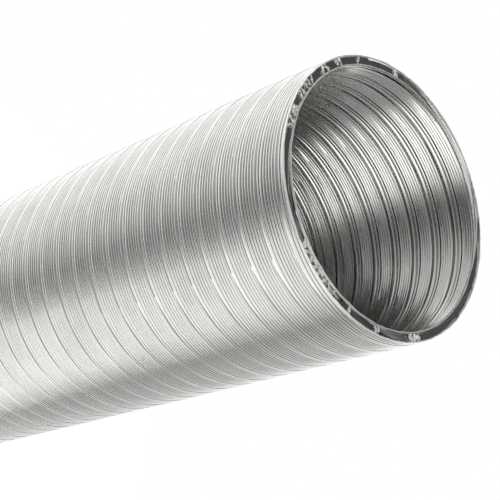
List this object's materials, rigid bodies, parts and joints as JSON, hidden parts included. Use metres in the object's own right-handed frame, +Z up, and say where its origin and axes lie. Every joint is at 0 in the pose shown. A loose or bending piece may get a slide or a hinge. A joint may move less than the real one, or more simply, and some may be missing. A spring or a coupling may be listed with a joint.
{
  "type": "flexible air duct",
  "caption": "Semi-rigid aluminium duct: a corrugated strip wound into a tube with a hooked lock seam, that pulls out and bends and stays put.",
  "frame": {"origin": "centre of the lower cut end, where the duct stands", "axes": "+Z up along the duct's axis; lower bend closes at -X, upper bend closes at -Y"},
  "size_m": [0.1084, 0.1084, 0.3328],
  "materials": {
    "duct_foil": "satin rolled foil"
  },
  "bodies": {
    "hoop_01": {"turn_01": "duct_foil"},
    "hoop_02": {"turn_02": "duct_foil"},
    "hoop_03": {"turn_03": "duct_foil"},
    "hoop_04": {"turn_04": "duct_foil"},
    "hoop_05": {"turn_05": "duct_foil"},
    "hoop_06": {"turn_06": "duct_foil"},
    "hoop_07": {"turn_07": "duct_foil"},
    "hoop_08": {"turn_08": "duct_foil"},
    "hoop_09": {"turn_09": "duct_foil"},
    "hoop_10": {"turn_10": "duct_foil"},
    "hoop_11": {"turn_11": "duct_foil"},
    "hoop_12": {"turn_12": "duct_foil"},
    "hoop_13": {"turn_13": "duct_foil"},
    "hoop_14": {"turn_14": "duct_foil"},
    "hoop_15": {"turn_15": "duct_foil"},
    "hoop_16": {"turn_16": "duct_foil"},
    "hoop_17": {"turn_17": "duct_foil"},
    "hoop_18": {"turn_18": "duct_foil"},
    "hoop_19": {"turn_19": "duct_foil"},
    "hoop_20": {"turn_20": "duct_foil"},
    "hoop_21": {"turn_21": "duct_foil"},
    "hoop_22": {"turn_22": "duct_foil"},
    "hoop_23": {"turn_23": "duct_foil"},
    "hoop_24": {"turn_24": "duct_foil"},
    "hoop_25": {"turn_25": "duct_foil"},
    "hoop_26": {"turn_26": "duct_foil"},
    "hoop_27": {"turn_27": "duct_foil"},
    "hoop_28": {"turn_28": "duct_foil"},
    "hoop_29": {"turn_29": "duct_foil"},
    "hoop_30": {"turn_30": "duct_foil"},
    "hoop_31": {"turn_31": "duct_foil"},
    "hoop_32": {"turn_32": "duct_foil"}
  },
  "joints": [
    {"name": "pull_out_01", "type": "slide", "parent": "hoop_01", "child": "hoop_02", "axis": [0, 0, 1], "range_m": [0, 0.0208]},
    {"name": "pull_out_02", "type": "slide", "parent": "hoop_02", "child": "hoop_03", "axis": [0, 0, 1], "range_m": [0, 0.0208]},
    {"name": "pull_out_03", "type": "slide", "parent": "hoop_03", "child": "hoop_04", "axis": [0, 0, 1], "range_m": [0, 0.0208]},
    {"name": "pull_out_04", "type": "slide", "parent": "hoop_04", "child": "hoop_05", "axis": [0, 0, 1], "range_m": [0, 0.0208]},
    {"name": "pull_out_05", "type": "slide", "parent": "hoop_05", "child": "hoop_06", "axis": [0, 0, 1], "range_m": [0, 0.0208]},
    {"name": "lower_bend_06", "type": "hinge", "parent": "hoop_06", "child": "hoop_07", "pos_m": [-0.05425, 0, 0.0624], "axis": [0, -1, 0], "range_deg": [0, 11.25]},
    {"name": "lower_bend_07", "type": "hinge", "parent": "hoop_07", "child": "hoop_08", "pos_m": [-0.05425, 0, 0.0728], "axis": [0, -1, 0], "range_deg": [0, 11.25]},
    {"name": "lower_bend_08", "type": "hinge", "parent": "hoop_08", "child": "hoop_09", "pos_m": [-0.05425, 0, 0.0832], "axis": [0, -1, 0], "range_deg": [0, 11.25]},
    {"name": "lower_bend_09", "type": "hinge", "parent": "hoop_09", "child": "hoop_10", "pos_m": [-0.05425, 0, 0.0936], "axis": [0, -1, 0], "range_deg": [0, 11.25]},
    {"name": "lower_bend_10", "type": "hinge", "parent": "hoop_10", "child": "hoop_11", "pos_m": [-0.05425, 0, 0.104], "axis": [0, -1, 0], "range_deg": [0, 11.25]},
    {"name": "lower_bend_11", "type": "hinge", "parent": "hoop_11", "child": "hoop_12", "pos_m": [-0.05425, 0, 0.1144], "axis": [0, -1, 0], "range_deg": [0, 11.25]},
    {"name": "lower_bend_12", "type": "hinge", "parent": "hoop_12", "child": "hoop_13", "pos_m": [-0.05425, 0, 0.1248], "axis": [0, -1, 0], "range_deg": [0, 11.25]},
    {"name": "lower_bend_13", "type": "hinge", "parent": "hoop_13", "child": "hoop_14", "pos_m": [-0.05425, 0, 0.1352], "axis": [0, -1, 0], "range_deg": [0, 11.25]},
    {"name": "pull_out_14", "type": "slide", "parent": "hoop_14", "child": "hoop_15", "axis": [0, 0, 1], "range_m": [0, 0.0208]},
    {"name": "pull_out_15", "type": "slide", "parent": "hoop_15", "child": "hoop_16", "axis": [0, 0, 1], "range_m": [0, 0.0208]},
    {"name": "pull_out_16", "type": "slide", "parent": "hoop_16", "child": "hoop_17", "axis": [0, 0, 1], "range_m": [0, 0.0208]},
    {"name": "pull_out_17", "type": "slide", "parent": "hoop_17", "child": "hoop_18", "axis": [0, 0, 1], "range_m": [0, 0.0208]},
    {"name": "pull_out_18", "type": "slide", "parent": "hoop_18", "child": "hoop_19", "axis": [0, 0, 1], "range_m": [0, 0.0208]},
    {"name": "upper_bend_19", "type": "hinge", "parent": "hoop_19", "child": "hoop_20", "pos_m": [0, -0.05425, 0.1976], "axis": [1, 0, 0], "range_deg": [0, 11.25]},
    {"name": "upper_bend_20", "type": "hinge", "parent": "hoop_20", "child": "hoop_21", "pos_m": [0, -0.05425, 0.208], "axis": [1, 0, 0], "range_deg": [0, 11.25]},
    {"name": "upper_bend_21", "type": "hinge", "parent": "hoop_21", "child": "hoop_22", "pos_m": [0, -0.05425, 0.2184], "axis": [1, 0, 0], "range_deg": [0, 11.25]},
    {"name": "upper_bend_22", "type": "hinge", "parent": "hoop_22", "child": "hoop_23", "pos_m": [0, -0.05425, 0.2288], "axis": [1, 0, 0], "range_deg": [0, 11.25]},
    {"name": "upper_bend_23", "type": "hinge", "parent": "hoop_23", "child": "hoop_24", "pos_m": [0, -0.05425, 0.2392], "axis": [1, 0, 0], "range_deg": [0, 11.25]},
    {"name": "upper_bend_24", "type": "hinge", "parent": "hoop_24", "child": "hoop_25", "pos_m": [0, -0.05425, 0.2496], "axis": [1, 0, 0], "range_deg": [0, 11.25]},
    {"name": "upper_bend_25", "type": "hinge", "parent": "hoop_25", "child": "hoop_26", "pos_m": [0, -0.05425, 0.26], "axis": [1, 0, 0], "range_deg": [0, 11.25]},
    {"name": "upper_bend_26", "type": "hinge", "parent": "hoop_26", "child": "hoop_27", "pos_m": [0, -0.05425, 0.2704], "axis": [1, 0, 0], "range_deg": [0, 11.25]},
    {"name": "pull_out_27", "type": "slide", "parent": "hoop_27", "child": "hoop_28", "axis": [0, 0, 1], "range_m": [0, 0.0208]},
    {"name": "pull_out_28", "type": "slide", "parent": "hoop_28", "child": "hoop_29", "axis": [0, 0, 1], "range_m": [0, 0.0208]},
    {"name": "pull_out_29", "type": "slide", "parent": "hoop_29", "child": "hoop_30", "axis": [0, 0, 1], "range_m": [0, 0.0208]},
    {"name": "pull_out_30", "type": "slide", "parent": "hoop_30", "child": "hoop_31", "axis": [0, 0, 1], "range_m": [0, 0.0208]},
    {"name": "pull_out_31", "type": "slide", "parent": "hoop_31", "child": "hoop_32", "axis": [0, 0, 1], "range_m": [0, 0.0208]}
  ],
  "couplings": [
    {"joint": "pull_out_02", "follows": "pull_out_01", "ratio": 1},
    {"joint": "pull_out_03", "follows": "pull_out_01", "ratio": 1},
    {"joint": "pull_out_04", "follows": "pull_out_01", "ratio": 1},
    {"joint": "pull_out_05", "follows": "pull_out_01", "ratio": 1},
    {"joint": "lower_bend_07", "follows": "lower_bend_06", "ratio": 1},
    {"joint": "lower_bend_08", "follows": "lower_bend_06", "ratio": 1},
    {"joint": "lower_bend_09", "follows": "lower_bend_06", "ratio": 1},
    {"joint": "lower_bend_10", "follows": "lower_bend_06", "ratio": 1},
    {"joint": "lower_bend_11", "follows": "lower_bend_06", "ratio": 1},
    {"joint": "lower_bend_12", "follows": "lower_bend_06", "ratio": 1},
    {"joint": "lower_bend_13", "follows": "lower_bend_06", "ratio": 1},
    {"joint": "pull_out_14", "follows": "pull_out_01", "ratio": 1},
    {"joint": "pull_out_15", "follows": "pull_out_01", "ratio": 1},
    {"joint": "pull_out_16", "follows": "pull_out_01", "ratio": 1},
    {"joint": "pull_out_17", "follows": "pull_out_01", "ratio": 1},
    {"joint": "pull_out_18", "follows": "pull_out_01", "ratio": 1},
    {"joint": "upper_bend_20", "follows": "upper_bend_19", "ratio": 1},
    {"joint": "upper_bend_21", "follows": "upper_bend_19", "ratio": 1},
    {"joint": "upper_bend_22", "follows": "upper_bend_19", "ratio": 1},
    {"joint": "upper_bend_23", "follows": "upper_bend_19", "ratio": 1},
    {"joint": "upper_bend_24", "follows": "upper_bend_19", "ratio": 1},
    {"joint": "upper_bend_25", "follows": "upper_bend_19", "ratio": 1},
    {"joint": "upper_bend_26", "follows": "upper_bend_19", "ratio": 1},
    {"joint": "pull_out_27", "follows": "pull_out_01", "ratio": 1},
    {"joint": "pull_out_28", "follows": "pull_out_01", "ratio": 1},
    {"joint": "pull_out_29", "follows": "pull_out_01", "ratio": 1},
    {"joint": "pull_out_30", "follows": "pull_out_01", "ratio": 1},
    {"joint": "pull_out_31", "follows": "pull_out_01", "ratio": 1}
  ]
}
